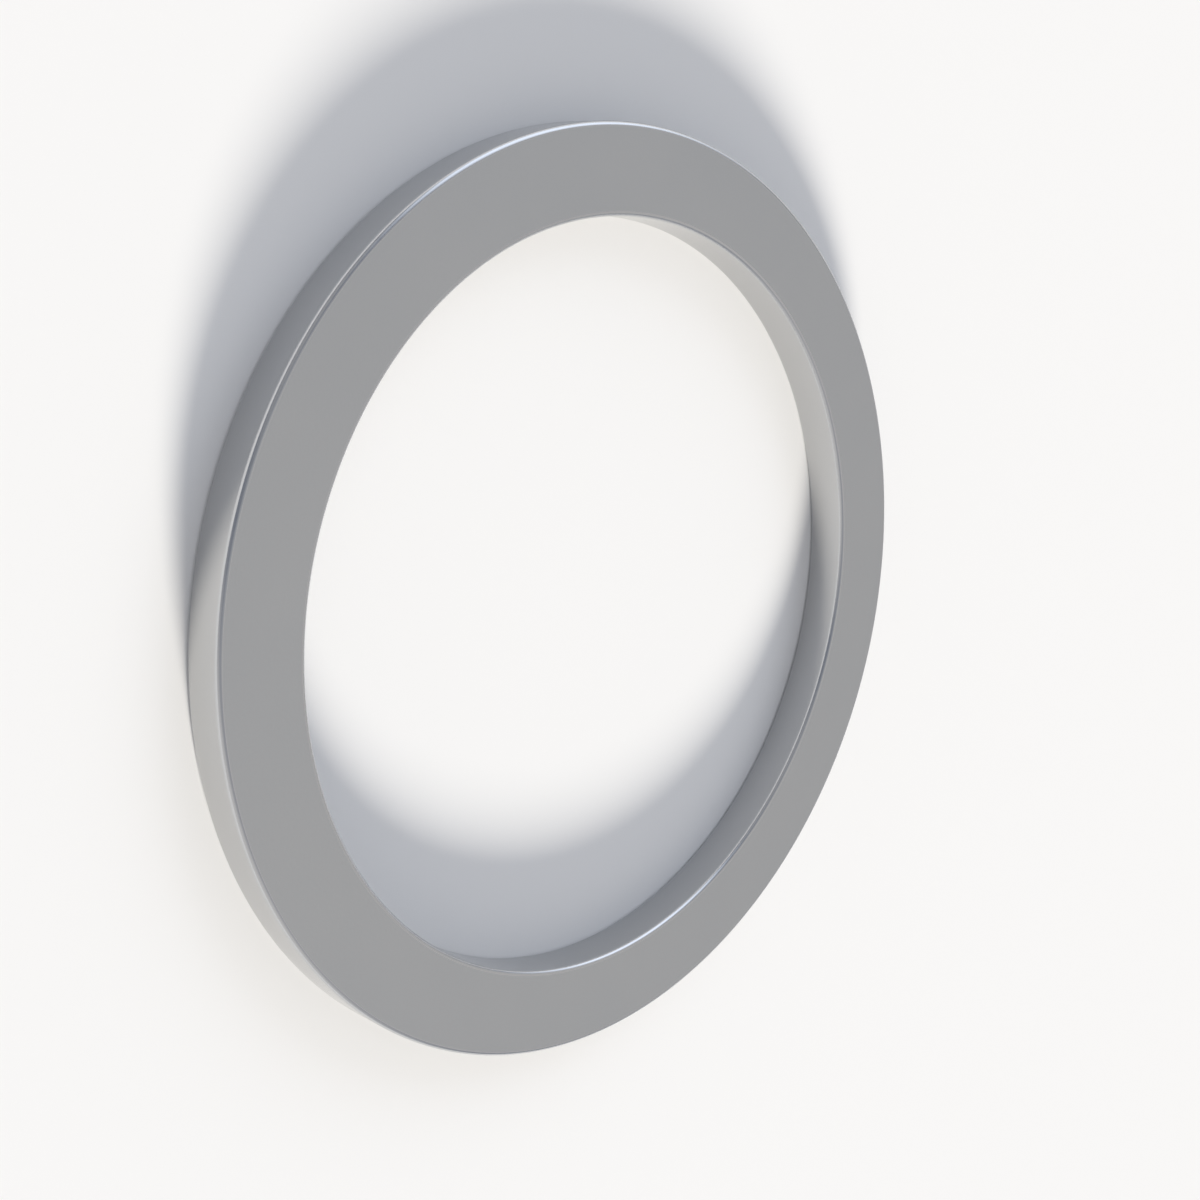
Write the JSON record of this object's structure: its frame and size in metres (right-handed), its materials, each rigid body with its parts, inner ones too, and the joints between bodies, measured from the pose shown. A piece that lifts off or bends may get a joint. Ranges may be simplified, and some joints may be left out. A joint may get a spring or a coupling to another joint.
{
  "type": "thrust washer",
  "caption": "Flat steel thrust washer: a plain narrow ring with ground parallel faces, a smooth bore and rim, and rounded edges, to take axial load between a shaft shoulder and its neighbour.",
  "frame": {"origin": "centre of the bore on the lower face, where the washer lies on its support", "axes": "+Z along the bore axis, from the lower face to the upper face; X and Y are any two directions across the ring"},
  "size_m": [0.08, 0.08, 0.004],
  "materials": {
    "steel": "bare hardened steel: lapped satin faces, fine-turned rim and bore, smooth rounded edges"
  },
  "bodies": {
    "root": {"thrust_washer": "steel"}
  },
  "joints": []
}
